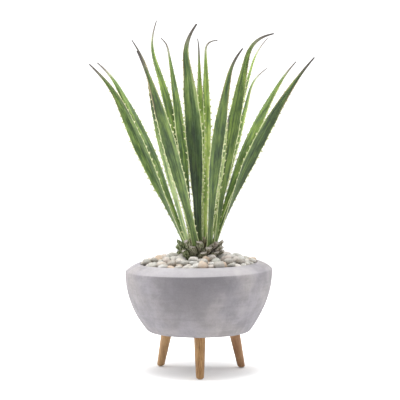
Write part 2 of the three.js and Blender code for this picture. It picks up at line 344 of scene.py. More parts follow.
def fibreCement():
    material, tree, skin, place = newFinish("fibreCement")
    cloudy = noise(tree, place, 7.0, 5.0, 0.6)
    blotchy = noise(tree, place, 21.0, 5.0, 0.6)
    upright = streaky(tree, place, (26, 26, 3.2), 4.0, 0.6)
    brushed = streaky(tree, place, (5, 5, 75), 5.0, 0.65)
    gritty = noise(tree, place, 110.0, 3.0, 0.7)
    fine = noise(tree, place, 260.0, 3.0, 0.6)
    base = blend(tree, between(tree, cloudy, 0.34, 0.66), cement["cool"], cement["warm"])
    shaded = weighted(tree, (upright, 0.2), (brushed, 0.22), (blotchy, 0.42), (gritty, 0.16))
    shaded = between(tree, shaded, 0.39, 0.61, cement["darkest"], cement["lightest"])
    shaded = first(tree, "ShaderNodeCombineColor", {0: shaded, 1: shaded, 2: shaded})
    base = blend(tree, 1.0, base, shaded, "MULTIPLY")
    # painted highlight: the shoulder is painted paler where light from above falls on it, most of all in
    # front
    sideways, depth, height = put(tree, "ShaderNodeSeparateXYZ", {0: place}).outputs
    level = calc(tree, "SUBTRACT", height, times(tree, sideways, bowl["lean"]))
    edge = bowl["edgeHeight"] * mm
    shoulderHighlight = between(tree, level, edge, edge + 0.002)
    # painted shade: the wall in front is painted darker just below the edge, most of all near the middle,
    # fading towards the bottom
    drift = spread(tree, cloudy, -0.05, 0.05)
    damp = between(tree, plus(tree, height, drift), cement["underEdgeShadeFrom"], 0.33)
    aside = plus(tree, sideways, plus(tree, drift, cement["underEdgeShadeShift"]))
    damp = times(tree, damp, between(tree, calc(tree, "ABSOLUTE", aside), 0.19, 0.04))
    damp = times(tree, damp, between(tree, depth, -0.1, -0.22))
    damp = times(tree, damp, calc(tree, "SUBTRACT", 1.0, shoulderHighlight))
    base = blend(tree, times(tree, damp, cement["underEdgeShadeStrength"]), base, cement["damp"])
    # painted highlight: the front of the shoulder is painted paler
    shoulderHighlight = times(tree, shoulderHighlight, between(tree, depth, -0.08, -0.2, 0.0, cement["shoulderHighlightStrength"]))
    base = blend(tree, shoulderHighlight, base, cement["shoulderHighlight"])
    # scattered pits and lime grains
    cells = put(tree, "ShaderNodeTexVoronoi", {"Vector": place, "Scale": 120.0}).outputs["Distance"]
    rare = between(tree, noise(tree, place, 40.0, 2.0), 0.56, 0.66)
    pits = times(tree, between(tree, cells, 0.05, 0.16, 1.0, 0.0), rare)
    base = blend(tree, times(tree, pits, 0.4), base, cement["pits"])
    base = blend(tree, times(tree, fine, 0.1), base, cement["lime"])
    paint(tree, skin, colour=base, rough=spread(tree, cloudy, 0.82, 0.94), gloss=0.3)
    relief(tree, skin, weighted(tree, (fine, 0.35), (brushed, 0.3), (pits, -0.9)), 0.35, 0.0012)
    return material


def bowlProfile():
    b = bowl
    profile = [(b["drain"], b["underside"] + 2), (b["drain"] + 2, b["underside"])]
    profile += line(profile[-1], (b["bottom"], b["underside"]), 10)
    profile += arc(profile[-1], (b["footPull"], b["underside"]),
                   (b["foot"], b["underside"] + b["footRise"]), 6)
    profile += arc(profile[-1], (b["edge"], b["bellyHeight"]), (b["edge"], b["edgeHeight"] - 5), 34)
    profile += arc(profile[-1], (b["edge"], b["edgeHeight"] - 0.5),
                   (b["edge"] - 1.5, b["edgeHeight"] + 1), 5)
    profile += arc(profile[-1], (b["shoulderPull"], b["edgeHeight"] + b["shoulderRise"]),
                   (b["opening"] + 6, b["rim"] - 1.2), 14)
    profile += arc(profile[-1], (b["opening"], b["rim"] + 0.6), (b["opening"], b["rim"] - 5), 7)
    profile += line(profile[-1], (b["opening"], b["neckHeight"]), 3)
    profile += line(profile[-1], b["insideTop"], 3)
    profile += arc(profile[-1], b["insideBelly"], b["insideFoot"], 14)
    profile += line(profile[-1], (b["floorEdge"], b["floor"]), 2)
    profile += line(profile[-1], (b["drain"], b["floor"]), 8)
    return profile


def makeBowl():
    points, faces = turnedPoints(bowlProfile(), bowl["around"])
    turn = np.arctan2(points[:, 1], points[:, 0])
    upper = smoothstep(0.136, 0.2, points[:, 2])
    # hand-finished: the wall is not quite round, and the edge sits lower on the left
    wobble = 1 + upper * (0.0022 * np.sin(2 * turn + 0.6) + 0.0012 * np.sin(5 * turn + 2))
    points[:, :2] *= wobble[:, None]
    points[:, 2] += upper * (bowl["lean"] * points[:, 0] + 0.0006 * np.sin(3 * turn + 1))
    return finished(meshPiece("bowlShell", points, faces, fibreCement()), "fibre_cement", "planter_bowl")


makeBowl()
print("bowl made")


legs = {"front": 1.5, "rear_right": 113, "rear_left": -124}
legSize = {
    "topCircle": 125, "footCircle": 155, "top": 18.8, "foot": 13, "bottom": 2.6, "around": 64,
    "clearance": 0.4, "footRound": 10, "swell": 0.5, "nailHole": 2, "nailDepth": 17, "boltHole": 4.4,
    "boltDepth": 43,
}


def legWood():
    material, tree, skin, place = newFinish("legWood")
    warped = streaky(tree, place, (14, 14, 3), 2.0)
    wander = first(tree, "ShaderNodeCombineXYZ", {0: times(tree, warped, 9.0)})
    grainPlace = vectorMath(tree, "ADD", {0: stretched(tree, place, (150, 150, 7)), 1: wander})
    grain = noise(tree, grainPlace, 1.0, 5.0, 0.62)
    pores = streaky(tree, place, (620, 620, 22), 2.0, 0.5)
    colour = stops(tree, grain, [(0.3, (0.15, 0.072, 0.026)), (0.45, (0.285, 0.15, 0.056)),
                                 (0.58, (0.385, 0.216, 0.084)), (0.74, (0.46, 0.276, 0.114))])
    colour = blend(tree, between(tree, pores, 0.55, 0.72, 0.0, 0.55), colour, (0.165, 0.082, 0.036, 1))
    # redder timber on the right, paler on the left
    sideways = first(tree, "ShaderNodeSeparateXYZ", {0: place})
    colour = blend(tree, between(tree, sideways, 0.03, 0.12, 0.0, 0.45), colour, (0.27, 0.125, 0.064, 1))
    colour = blend(tree, between(tree, sideways, -0.03, -0.12, 0.0, 0.45), colour, (0.52, 0.322, 0.15, 1))
    paint(tree, skin, colour=colour, rough=spread(tree, grain, 0.62, 0.46))
    relief(tree, skin, calc(tree, "SUBTRACT", grain, pores), 0.3, 0.0006)
    return material


def slantTo(points, azimuth):
    # an upright piece on the axis is moved out to its leg and follows its splay
    top, splay = bowl["underside"], legSize["footCircle"] - legSize["topCircle"]
    out = facing(azimuth)
    along = np.array([-out[1], out[0], 0])
    radial = legSize["topCircle"] * mm + (top * mm - points[:, 2]) * splay / top + points[:, 0]
    return radial[:, None] * out + points[:, 1][:, None] * along + points[:, 2][:, None] * np.array([0, 0, 1])


def legProfile():
    g = legSize
    top, bottom, foot = bowl["underside"] - g["clearance"], g["bottom"], g["foot"]
    hole, depth = g["nailHole"], g["nailDepth"]
    profile = [(0, depth), (hole, depth), (hole, bottom), (foot - 5, bottom)]
    profile += arc(profile[-1], (foot - 0.2, bottom + 0.2), (foot, bottom + g["footRound"]), 9)
    for k in range(1, 19):
        share = k / 18
        swell = g["swell"] * math.sin(math.pi * share)
        rise = (top - 1.4 - g["footRound"] - bottom) * share
        profile.append((foot + (g["top"] - foot) * share + swell, bottom + g["footRound"] + rise))
    profile += [(g["top"] - 0.7, top), (g["boltHole"], top), (g["boltHole"], top - g["boltDepth"])]
    return profile + [(0, top - g["boltDepth"])]


def makeLegs():
    wood = legWood()
    points, faces = turnedPoints(legProfile(), legSize["around"])
    for place, azimuth in legs.items():
        piece = meshPiece(f"woodLeg_{place}", slantTo(points, azimuth), faces, wood)
        finished(piece, "leg_wood", f"leg_{place}")


glide = {"around": 48, "radius": 8, "flat": 6.6, "edge": 1.3, "thickness": 2.2, "nail": 1.6,
         "shank": 12, "point": 15}


def glideNylon():
    material, tree, skin, place = newFinish("glideNylon")
    scuffs = noise(tree, place, 320.0, 3.0)
    colour = blend(tree, between(tree, scuffs, 0.4, 0.7), (0.66, 0.63, 0.57, 1), (0.8, 0.78, 0.73, 1))
    paint(tree, skin, colour=colour, rough=spread(tree, scuffs, 0.5, 0.35))
    relief(tree, skin, scuffs, 0.2, 0.0002)
    return material


def makeGlides():
    nylon = glideNylon()
    g = glide
    profile = [(0, 0), (g["flat"], 0)] + arc((g["flat"], 0), (g["radius"], 0), (g["radius"], g["edge"]), 5)
    profile += [(g["radius"] - 0.3, g["thickness"]), (g["nail"], g["thickness"]), (g["nail"], g["shank"])]
    points, faces = turnedPoints(profile + [(0, g["point"])], g["around"])
    for place, azimuth in legs.items():
        piece = meshPiece(f"footGlide_{place}", slantTo(points, azimuth), faces, nylon)
        finished(piece, "glide_plastic", f"foot_glide_{place}")


# radius and height, from the middle underneath to the middle on top
stopper = {"around": 48, "profile": [(0, 137), (4, 136), (8, 136), (9, 137), (9.6, 158.4), (15, 158.4),
                                     (16, 159.4), (16, 160.6), (14.5, 161.8), (0, 162.4)]}


def plugRubber():
    material, tree, skin, place = newFinish("plugRubber")
    dusty = noise(tree, place, 140.0, 4.0)
    colour = blend(tree, between(tree, dusty, 0.45, 0.7), (0.018, 0.018, 0.019, 1), (0.06, 0.058, 0.055, 1))
    paint(tree, skin, colour=colour, rough=spread(tree, dusty, 0.62, 0.85))
    relief(tree, skin, dusty, 0.25, 0.0003)
    return material


def makePlug():
    points, faces = turnedPoints(stopper["profile"], stopper["around"])
    finished(meshPiece("drainStopper", points, faces, plugRubber()), "plug_rubber", "drain_plug")


def metalFinish(name, dark, light, roughness):
    material, tree, skin, place = newFinish(name)
    wear = streaky(tree, place, (300, 300, 900), 4.0)
    rough = spread(tree, wear, roughness, roughness + 0.15)
    paint(tree, skin, colour=blend(tree, wear, dark, light), rough=rough, metal=0.95)
    relief(tree, skin, wear, 0.2, 0.0002)
    return material


def finishHiddenMetal():
    zinc = metalFinish("zincPlate", (0.5, 0.51, 0.52, 1), (0.68, 0.68, 0.67, 1), 0.3)
    brassy = metalFinish("insertMetal", (0.5, 0.38, 0.18, 1), (0.72, 0.58, 0.32, 1), 0.34)
    for place in legs:
        refinish(f"hanger_bolt_{place}", zinc)
        refinish(f"threaded_insert_{place}", brassy)


makeLegs()
makeGlides()
makePlug()
finishHiddenMetal()
print("legs, glides and plug made")


# radius and height pairs run from the drain outwards and up
soilBed = {
    "around": 160, "rings": 46, "seed": 5, "top": 344, "crumbs": (-1.2, 2.6),
    "bottom": [(0, 163), (18, 163), (18, 158.6), (140.5, 158.6), (152.5, 162.6)],
    "belly": (216.5, 240.6), "shoulder": (213.5, 330.6), "neck": (196, 342), "rim": 190,
}


def darkSoil():
    material, tree, skin, place = newFinish("darkSoil")
    crumbs = put(tree, "ShaderNodeTexVoronoi", {"Vector": place, "Scale": 210.0}).outputs["Distance"]
    damp = noise(tree, place, 45.0, 5.0)
    colour = stops(tree, damp, [(0.3, (0.018, 0.012, 0.008)), (0.55, (0.05, 0.033, 0.021)),
                                (0.8, (0.11, 0.078, 0.05))])
    paint(tree, skin, colour=colour, rough=0.95)
    relief(tree, skin, plus(tree, crumbs, damp), 0.8, 0.003)
    return material


def boundRoots():
    material, tree, skin, place = newFinish("boundRoots")
    threads = streaky(tree, place, (160, 160, 18), 5.0, 0.7)
    colour = stops(tree, threads, [(0.35, (0.045, 0.029, 0.018)), (0.52, (0.16, 0.105, 0.062)),
                                   (0.66, (0.42, 0.32, 0.21))])
    paint(tree, skin, colour=colour, rough=0.9)
    relief(tree, skin, threads, 0.8, 0.003)
    return material


def makeSoil():
    rng = np.random.default_rng(soilBed["seed"])
    top, rim = soilBed["top"], soilBed["rim"]
    profile = list(soilBed["bottom"])
    profile += arc(profile[-1], soilBed["belly"], soilBed["shoulder"], 12)
    profile += line(profile[-1], soilBed["neck"], 4)
    profile += [(rim, top)] + line((rim, top), (0, top + 1), soilBed["rings"])
    points, faces = turnedPoints(profile, soilBed["around"])
    surface = points[:, 2] > (top - 0.6) * mm
    points[surface, 2] += rng.uniform(*soilBed["crumbs"], surface.sum()) * mm
    finished(meshPiece("pottingMix", points, faces, darkSoil()), "soil", "potting_soil")
    refinish("root_ball", boundRoots())


makeSoil()
print("soil made")


def newTree(name, inputs):
    tree = bpy.data.node_groups.new(name, "GeometryNodeTree")
    tree.interface.new_socket(name="Geometry", in_out="INPUT", socket_type="NodeSocketGeometry")
    sockets = {}
    for label, kind, value in inputs:
        socket = tree.interface.new_socket(name=label, in_out="INPUT", socket_type=kind)
        if value is not None:
            socket.default_value = value
        sockets[label] = socket.identifier
    tree.interface.new_socket(name="Geometry", in_out="OUTPUT", socket_type="NodeSocketGeometry")
    start = put(tree, "NodeGroupInput")
    end = put(tree, "NodeGroupOutput")
    return tree, start, end, sockets


def grown(carrier, tree, sockets, values):
    # runs the tree on the carrier and hands back its result as a plain mesh
    modifier = carrier.modifiers.new(tree.name, "NODES")
    modifier.node_group = tree
    for label, value in values.items():
        modifier[sockets[label]] = value
    graph = bpy.context.evaluated_depsgraph_get()
    graph.update()
    mesh = bpy.data.meshes.new_from_object(carrier.evaluated_get(graph), depsgraph=graph)
    carrier.modifiers.remove(modifier)
    bpy.data.objects.remove(carrier)
    return mesh


def named(tree, name, kind="FLOAT"):
    return first(tree, "GeometryNodeInputNamedAttribute", {0: name}, data_type=kind)


def marginTeethTree():
    tree, start, end, sockets = newTree("marginTeeth", [
        ("Spacing", "NodeSocketFloat", 0.026), ("Tooth Height", "NodeSocketFloat", 0.004),
        ("Tooth Width", "NodeSocketFloat", 0.0013), ("Seed", "NodeSocketInt", 3),
        ("Material", "NodeSocketMaterial", None)])
    margin = first(tree, "GeometryNodeMeshToCurve", {0: start.outputs["Geometry"]})
    margin = first(tree, "GeometryNodeResampleCurve", {"Curve": margin, "Length": start.outputs["Spacing"]},
                   mode="LENGTH")
    tooth = put(tree, "GeometryNodeMeshCone", {"Vertices": 6, "Radius Top": 0.0,
                "Radius Bottom": start.outputs["Tooth Width"], "Depth": start.outputs["Tooth Height"]},
                fill_type="TRIANGLE_FAN").outputs["Mesh"]
    tooth = first(tree, "GeometryNodeTransform", {"Geometry": tooth, "Scale": (2.1, 0.8, 1.0)})
    pointing = named(tree, "pointing", "FLOAT_VECTOR")
    pointing = first(tree, "FunctionNodeAlignRotationToVector", {"Vector": pointing}, axis="Z")
    turned = first(tree, "FunctionNodeAlignRotationToVector", {"Rotation": pointing,
                   "Vector": named(tree, "growing", "FLOAT_VECTOR")}, axis="X", pivot_axis="Z")
    chance = put(tree, "FunctionNodeRandomValue", {2: 0.55, 3: 1.15, "Seed": start.outputs["Seed"]},
                 data_type="FLOAT").outputs[1]
    size = times(tree, chance, named(tree, "toothSize"))
    row = first(tree, "GeometryNodeInstanceOnPoints", {"Points": margin, "Instance": tooth,
                "Rotation": turned, "Scale": size})
    row = first(tree, "GeometryNodeRealizeInstances", {0: row})
    row = first(tree, "GeometryNodeSetMaterial", {"Geometry": row, "Material": start.outputs["Material"]})
    tree.links.new(row, end.inputs[0])
    return tree, sockets


crown = {"outer": (52, 429), "middle": (31, 437), "inner": (11, 445), "shiftX": 4}
leafShape = {
    "steps": (0, 0.08, 0.2, 0.32, 0.44, 0.54, 0.66, 0.78, 0.88, 0.94, 1),
    "width": (0.5, 0.45, 0.58, 0.82, 0.98, 1, 0.84, 0.53, 0.29, 0.19, 0.1),
    "thickness": (9, 8, 7, 6.3, 5.6, 5, 4.4, 4.2, 4.4, 4.0, 2.6),
    "channel": (0.46, 0.46, 0.48, 0.5, 0.5, 0.5, 0.52, 0.58, 0.6, 0.5, 0.3),
    "stations": 110, "around": 24, "heel": 18, "heelFlare": 0.264, "leastHalf": 2.9, "foldPower": 1.2,
    "ripple": 0.02, "fineRipple": 0.015, "seed": 40,
}
teeth = {"spacing": 0.0225, "height": 0.0082, "width": 0.0022, "seed": 3, "from": 0.05, "to": 0.86,
         "sizeAt": (0.05, 0.2, 0.6, 0.86), "size": (0.8, 1.0, 0.95, 0.45)}
leafTraits = ("azimuth", "turn", "length", "width", "lean", "bow", "hook", "hookFrom", "pitch", "droop",
              "tone", "shade", "top", "foldToneAndShade", "tip")


def leafRow(face, size, sideways, forward, look, ring="outer"):
    return dict(zip(leafTraits, (*face, *size, *sideways, *forward, *look)), ring=ring)


# face: where it leaves the stem, and how far its face turns from there; size: length and width;
# sideways: lean, bow, tip hook and where the hook starts; forward: pitch and droop to the front;
# look: blue-green to yellow-green, dark to pale low on the leaf and high on it (partly its own tone,
# partly painted shade), how much paler the right half is (partly its own two-tone, partly painted
# shade across the fold), and how dry the tip is
leaves = {
    "01": leafRow(face=(-76, 50), size=(676, 44), sideways=(-25, 0, -22, 0.66),
                  forward=(-8, -4), look=(0.35, 0.4, 0.44, -0.06, 0.6)),
    "02": leafRow(face=(-113, -35), size=(700, 44), sideways=(-20, -14, -16, 0.8),
                  forward=(-16, -3), look=(0.42, 0.44, 0.44, -0.1, 0.1)),
    "03": leafRow(face=(-47, -10), size=(680, 42), sideways=(-14.5, 6, -25, 0.74),
                  forward=(5, 3), look=(0.2, 0.78, 0.22, 0, 1)),
    "04": leafRow(face=(-15, -12), size=(662, 50), sideways=(-12.5, -8, -7, 0.76),
                  forward=(14, 4), look=(0.36, 0.44, 0.4, 0.14, 0.8)),
    "05": leafRow(face=(-146, -30), size=(776, 31), sideways=(-6.8, -17, 40, 0.78),
                  forward=(-13, -4), look=(0.62, 0.3, 0.46, 0, 0.15)),
    "06": leafRow(face=(-125, -35), size=(708, 34), sideways=(-5, -7, -38, 0.92),
                  forward=(-15, -3), look=(0.45, 0.38, 0.42, 0, 0.3), ring="middle"),
    "07": leafRow(face=(-8, 5), size=(708, 54), sideways=(-1.2, -9, 44, 0.8),
                  forward=(7, 5), look=(0.22, 0.12, 0.56, 0.2, 0.6), ring="middle"),
    "08": leafRow(face=(170, 0), size=(655, 29), sideways=(-0.2, -1, -8, 0.93),
                  forward=(-6, -4), look=(0.85, 0.85, 0.48, 0, 0.9), ring="inner"),
    "09": leafRow(face=(150, 5), size=(694, 36), sideways=(0.2, 0, 90, 0.9),
                  forward=(-10, -3), look=(0.8, 0.8, 0.56, 0.08, 0.2), ring="middle"),
    "10": leafRow(face=(34, -10), size=(658, 46), sideways=(2, 14, 22, 0.82),
                  forward=(13, 6), look=(0.36, 0.34, 0.34, -0.06, 0.9)),
    "11": leafRow(face=(63, -40), size=(730, 46), sideways=(7.2, 8, 62, 0.81),
                  forward=(6, 2), look=(0.62, 0.42, 0.46, -0.06, 0.5)),
    "12": leafRow(face=(100, 0), size=(704, 40), sideways=(11.4, 8, 22, 0.82),
                  forward=(-7, -5), look=(0.7, 0.52, 0.54, 0, 0.1), ring="middle"),
    "13": leafRow(face=(144, -30), size=(646, 40), sideways=(14.8, 2, 38, 0.8),
                  forward=(-16, -4), look=(0.6, 0.5, 0.46, 0, 0.3)),
    "14": leafRow(face=(118, 22), size=(680, 42), sideways=(16, 22, 6, 0.84),
                  forward=(-12, -4), look=(0.62, 0.36, 0.46, 0.05, 0.3)),
    "15": leafRow(face=(86, -55), size=(684, 46), sideways=(19, 21, 2, 0.8),
                  forward=(8, 4), look=(0.36, 0.28, 0.3, -0.08, 1)),
    "16": leafRow(face=(172, 0), size=(560, 40), sideways=(1.2, 0, 0, 0.8),
                  forward=(-15, -6), look=(0.45, 0.4, 0.4, 0, 0.5)),
    "17": leafRow(face=(-92, -10), size=(430, 34), sideways=(-11, -2, 0, 0.8),
                  forward=(-7, -4), look=(0.45, 0.24, 0.4, 0, 0.5), ring="middle"),
    "18": leafRow(face=(42, -4), size=(420, 28), sideways=(10, 0, 0, 0.8),
                  forward=(15, -4), look=(0.35, 0.92, 0.8, 0, 0.3), ring="middle"),
}


def leafSkin():
    material, tree, skin, _ = newFinish("leafSkin")
    along, across, inner = (attribute(tree, name) for name in ("along", "across", "inner"))
    edge = calc(tree, "ABSOLUTE", across)
    own = times(tree, attribute(tree, "seed"), 7.3)

    def leafNoise(acrossScale, alongScale, detail, roughness=0.55):
        place = first(tree, "ShaderNodeCombineXYZ", {0: times(tree, across, acrossScale),
                      1: times(tree, along, alongScale), 2: own})
        return noise(tree, place, 1.0, detail, roughness)

    fibres = leafNoise(16.0, 3.0, 4.0, 0.6)
    fineFibres = leafNoise(46.0, 7.0, 2.0, 0.5)
    clouds = leafNoise(1.6, 9.0, 4.0, 0.6)
    bloom = leafNoise(2.2, 22.0, 5.0, 0.65)
    # how dark or pale the green is: partly the leaf's own tone, partly painted shade, darkest low on leaves
    # that others shadow
    value = mixed(tree, between(tree, along, 0.3, 0.72), attribute(tree, "shade"), attribute(tree, "top"))
    # painted shade across the fold: one half of the leaf is painted paler than the other, partly the leaf's
    # own two-tone
    value = plus(tree, value, times(tree, attribute(tree, "foldToneAndShade"), attribute(tree, "rightward")))
    fading = between(tree, along, 0.92, 0.62, 0.3, 1.0)
    streaks = times(tree, spread(tree, fibres, -0.15, 0.15), fading)
    value = plus(tree, value, streaks)
    value = plus(tree, value, spread(tree, clouds, -0.2, 0.2))
    value = plus(tree, value, between(tree, fineFibres, 0.35, 0.65, -0.05, 0.05))
    # painted shade: a darker line is painted along the midrib crease
    value = calc(tree, "SUBTRACT", value, between(tree, edge, 0.1, 0.0, 0.0, 0.2))
    cool = stops(tree, value, [(0.0, (0.016, 0.032, 0.012)), (0.35, (0.052, 0.094, 0.03)),
                               (0.65, (0.132, 0.205, 0.072)), (1.0, (0.42, 0.5, 0.26))])
    warm = stops(tree, value, [(0.0, (0.024, 0.042, 0.007)), (0.35, (0.08, 0.132, 0.018)),
                               (0.65, (0.2, 0.29, 0.046)), (1.0, (0.52, 0.61, 0.19))])
    patchy = between(tree, clouds, 0.25, 0.75, -0.35, 0.35)
    hue = calc(tree, "ADD", attribute(tree, "tone"), patchy, clamp=True)
    colour = blend(tree, hue, cool, warm)
    # waxy bloom, bluer and lighter, mostly on the outer face
    wax = calc(tree, "SUBTRACT", 0.27, times(tree, inner, 0.15))
    wax = times(tree, between(tree, bloom, 0.48, 0.72), wax)
    colour = blend(tree, wax, colour, (0.2, 0.32, 0.19, 1))
    # pale base
    colour = blend(tree, between(tree, along, 0.1, 0.0, 0.0, 0.16), colour, (0.3, 0.41, 0.12, 1))
    # cream horny margin, of uneven breadth
    uneven = between(tree, leafNoise(0.5, 60.0, 3.0), 0.3, 0.7, -0.035, 0.035)
    ragged = plus(tree, edge, uneven)
    margin = times(tree, between(tree, ragged, 0.885, 0.93), 0.92)
    colour = blend(tree, margin, colour, (0.62, 0.67, 0.35, 1))
    # scorched margin and dry spine towards the tip
    dryness = attribute(tree, "tip")
    scorch = times(tree, between(tree, along, 0.62, 0.84), between(tree, ragged, 0.62, 0.92))
    colour = blend(tree, times(tree, scorch, dryness), colour, (0.4, 0.3, 0.17, 1))
    bleached = stops(tree, along, [(0.84, (0.3, 0.35, 0.16)), (0.91, (0.42, 0.42, 0.3)),
                                   (0.95, (0.2, 0.175, 0.15)), (1.0, (0.07, 0.058, 0.054))])
    withered = stops(tree, along, [(0.82, (0.07, 0.086, 0.036)), (0.91, (0.082, 0.076, 0.05)),
                                   (1.0, (0.055, 0.046, 0.044))])
    dryLine = plus(tree, along, spread(tree, fibres, -0.03, 0.03))
    dry = blend(tree, dryness, bleached, withered)
    colour = blend(tree, between(tree, dryLine, 0.865, 0.935), colour, dry)
    rough = plus(tree, spread(tree, bloom, 0.4, 0.56), times(tree, wax, 0.2))
    paint(tree, skin, colour=colour, rough=rough, gloss=0.36)
    relief(tree, skin, plus(tree, fibres, times(tree, fineFibres, 0.6)), 0.35, 0.0006)
    return material


def toothHorn():
    material, tree, skin, place = newFinish("toothHorn")
    mottled = noise(tree, place, 90.0, 3.0)
    colour = blend(tree, spread(tree, mottled), (0.61, 0.64, 0.35, 1), (0.5, 0.5, 0.27, 1))
    sharpEnd = between(tree, attribute(tree, "toothTip"), 0.55, 1.0)
    colour = blend(tree, sharpEnd, colour, (0.26, 0.15, 0.08, 1))
    paint(tree, skin, colour=colour, rough=spread(tree, mottled, 0.38, 0.52))
    relief(tree, skin, mottled, 0.15, 0.0002)
    return material


def shapeAt(name, t):
    return np.interp(np.clip(t, 0, 1), leafShape["steps"], leafShape[name])


def growthAt(leaf, t):
    t = np.clip(np.asarray(t, float), 0, 1)
    sideways = leaf["lean"] + leaf["bow"] * t ** 1.5 + leaf["hook"] * smoothstep(leaf["hookFrom"], 1, t)
    forward = leaf["pitch"] + leaf["droop"] * t
    a, f = np.radians(sideways), np.radians(forward)
    return np.stack([np.sin(a) * np.cos(f), -np.sin(f), np.cos(a) * np.cos(f)], -1)


def unit(vectors):
    return vectors / np.linalg.norm(vectors, axis=-1, keepdims=True)


def leafCentres(leaf, t):
    steps = 48
    radius, height = crown[leaf["ring"]]
    start = facing(leaf["azimuth"]) * radius * mm + np.array([crown["shiftX"] * mm, 0, height * mm])
    headings = growthAt(leaf, (np.arange(steps) + 0.5) / steps) * leaf["length"] * mm / steps
    centres = np.vstack([start, start + np.cumsum(headings, 0)])
    grid = np.arange(steps + 1) / steps
    inside = np.stack([np.interp(np.clip(t, 0, 1), grid, centres[:, k]) for k in range(3)], -1)
    below = np.minimum(t, 0)[:, None] * leaf["length"] * mm * growthAt(leaf, np.zeros(len(t)))
    return inside + below


def leafFrames(leaf, t):
    growth = growthAt(leaf, t)
    turn = leaf["azimuth"] + leaf["turn"] * smoothstep(0, 1, np.clip(t, 0, 1) / 0.45)
    out = np.stack([np.sin(np.radians(turn)), -np.cos(np.radians(turn)), np.zeros(len(t))], -1)
    across = unit(np.cross(growth, out))
    inward = unit(np.cross(across, growth))
    return growth, across, inward


def leafBlade(leaf, seed):
    rng = np.random.default_rng(seed)
    shape = leafShape
    heel = shape["heel"] / leaf["length"]
    t = np.concatenate([np.linspace(-heel, 0, 4)[:-1], np.linspace(0, 1, shape["stations"]) ** 0.94])
    centres = leafCentres(leaf, t)
    growth, across, inward = leafFrames(leaf, t)
    ripple = 1 + shape["ripple"] * np.sin(t * 31 + rng.uniform(0, 6))
    ripple = ripple + shape["fineRipple"] * np.sin(t * 57 + rng.uniform(0, 6))
    half = leaf["width"] / 2 * shapeAt("width", t) * ripple * mm
    half *= 1 + shape["heelFlare"] * np.clip(-t / heel, 0, 1)
    half = np.maximum(half, shape["leastHalf"] * mm * smoothstep(1.02, 0.93, t))
    thick = shapeAt("thickness", t) / 2 * mm
    rows, around = len(t), shape["around"]
    turn = 2 * np.pi * np.arange(around) / around
    share, side = np.cos(turn), np.sin(turn)
    thin = np.abs(side) * (1 - 0.35 * np.abs(share) ** 3)
    depth = (np.sign(side) * thin)[None, :] * thick[:, None]
    fold = np.abs(share) ** shape["foldPower"]
    depth = depth + shapeAt("channel", t)[:, None] * half[:, None] * fold[None, :]
    points = centres[:, None, :] + across[:, None, :] * (share[None, :, None] * half[:, None, None])
    points = points + inward[:, None, :] * depth[..., None]
    ends = np.array([centres[0] - growth[0] * 1.5 * mm, centres[-1] + growth[-1] * 1.0 * mm])
    values = {
        "along": np.concatenate([np.repeat(np.clip(t, 0, 1), around), [0, 1]]),
        "across": np.concatenate([np.tile(share, rows), [0, 0]]),
        "inner": np.concatenate([np.tile((side > -0.05) * 1.0, rows), [1, 1]]),
        "rightward": np.concatenate([np.tile(share, rows), [0, 0]]) * np.sign(across[rows // 2, 0]),
    }
    return np.vstack([points.reshape(-1, 3), ends]), cappedTube(rows, around), values


def marginLines(index, leaf):
    t = np.linspace(teeth["from"], teeth["to"], 60)
    centres = leafCentres(leaf, t)
    growth, across, inward = leafFrames(leaf, t)
    half = leaf["width"] / 2 * shapeAt("width", t) * mm
    lift = (shapeAt("channel", t) * half)[:, None] * inward
    size = np.interp(t, teeth["sizeAt"], teeth["size"])
    lines = []
    for hand in (-1, 1):
        place = centres + across * (hand * half * 0.985)[:, None] + lift
        pointing = unit(across * hand + growth * 0.45 + inward * 0.25)
        lines.append((place, pointing, growth, size, np.full(len(t), float(index))))
    return lines


def growTeeth(horn):
    # every margin tooth of the plant is grown in one go, then shared out to its leaf
    lines = [line for index, leaf in enumerate(leaves.values()) for line in marginLines(index, leaf)]
    places, pointing, growing, size, leafIndex = (np.concatenate(column) for column in zip(*lines))
    edges, start = [], 0
    for entry in lines:
        edges += [(start + k, start + k + 1) for k in range(len(entry[0]) - 1)]
        start += len(entry[0])
    data = bpy.data.meshes.new("marginLines")
    data.from_pydata([tuple(p) for p in places], edges, [])
    setAttribute(data, "pointing", pointing, "FLOAT_VECTOR")
    setAttribute(data, "growing", growing, "FLOAT_VECTOR")
    setAttribute(data, "toothSize", size)
    setAttribute(data, "leafIndex", leafIndex)
    tree, sockets = marginTeethTree()
    mesh = grown(placed("marginLines", data), tree, sockets, {
        "Spacing": teeth["spacing"], "Tooth Height": teeth["height"], "Tooth Width": teeth["width"],
        "Seed": teeth["seed"], "Material": horn})
    verts = np.empty(len(mesh.vertices) * 3, np.float32)
    mesh.vertices.foreach_get("co", verts)
    owner = np.empty(len(mesh.vertices), np.float32)
    mesh.attributes["leafIndex"].data.foreach_get("value", owner)
    faces = [tuple(p.vertices) for p in mesh.polygons]
    return verts.reshape(-1, 3), np.rint(owner).astype(int), faces


def toothTips(verts):
    # 1 on the sharp end of each tooth
    perTooth = 8
    points = verts.reshape(-1, perTooth, 3)
    far = np.linalg.norm(points - points.mean(1, keepdims=True), axis=2)
    return (far == far.max(1, keepdims=True)).astype(float).ravel()


